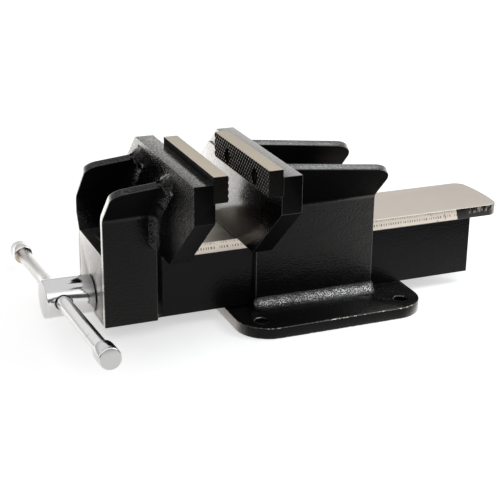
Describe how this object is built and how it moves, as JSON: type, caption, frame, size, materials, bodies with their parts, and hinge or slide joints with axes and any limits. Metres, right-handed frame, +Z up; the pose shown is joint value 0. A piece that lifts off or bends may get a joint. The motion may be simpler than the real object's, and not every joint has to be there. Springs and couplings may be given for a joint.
{
  "type": "offset bench vise",
  "caption": "Welded steel bench vise whose jaws stand out to one side of the slide, with a turning screw, a sliding handle and a base plate for bolting to a bench.",
  "frame": {"origin": "centre of the base plate's underside, in the middle of the holding-down holes", "axes": "+X along the slide towards its rear end, +Y away from the side that the jaws stand out to, +Z up"},
  "size_m": [0.545, 0.4022, 0.2096],
  "materials": {
    "black_paint": "gloss",
    "machined_bar": "satin",
    "jaw_steel": "satin",
    "dark_steel": "satin",
    "bright_steel": "satin",
    "plating": "polished",
    "bronze": "satin"
  },
  "bodies": {
    "fixed_body": {"base_plate": "black_paint", "fixed_near_plate": "black_paint", "fixed_far_plate": "black_paint", "base_weld_near": "black_paint", "base_weld_far": "black_paint", "fixed_jaw_plate": "black_paint", "fixed_jaw_insert": "jaw_steel", "fixed_jaw_screws": "dark_steel", "keeper_bar": "black_paint", "wear_strips": "bronze", "nut_block": "black_paint", "nut_bush": "bronze"},
    "moving_jaw": {"slide_bar": "machined_bar", "slide_near_wall": "black_paint", "slide_far_wall": "black_paint", "end_plate": "black_paint", "moving_near_plate": "black_paint", "moving_far_plate": "black_paint", "moving_jaw_plate": "black_paint", "moving_jaw_insert": "jaw_steel", "moving_jaw_screws": "dark_steel", "moving_jaw_welds": "black_paint", "moving_edge_welds": "black_paint"},
    "screw": {"lead_screw": "bright_steel", "screw_head": "plating", "retaining_collar": "dark_steel", "collar_pin": "dark_steel"},
    "handle": {"handle_bar": "plating", "near_knob": "plating", "far_knob": "plating"}
  },
  "joints": [
    {"name": "jaw_slide", "type": "slide", "parent": "fixed_body", "child": "moving_jaw", "axis": [1, 0, 0], "range_m": [-0.1501, 0.0415]},
    {"name": "screw_turn", "type": "hinge", "parent": "moving_jaw", "child": "screw", "pos_m": [-0.252, 0, 0.0362], "axis": [1, 0, 0], "range_deg": [-9000, 2484]},
    {"name": "handle_slide", "type": "slide", "parent": "screw", "child": "handle", "axis": [0, 0.9965, -0.0837], "range_m": [-0.15, 0.15]}
  ],
  "couplings": [
    {"joint": "jaw_slide", "follows": "screw_turn", "m_per_rad": 0.00095493}
  ]
}
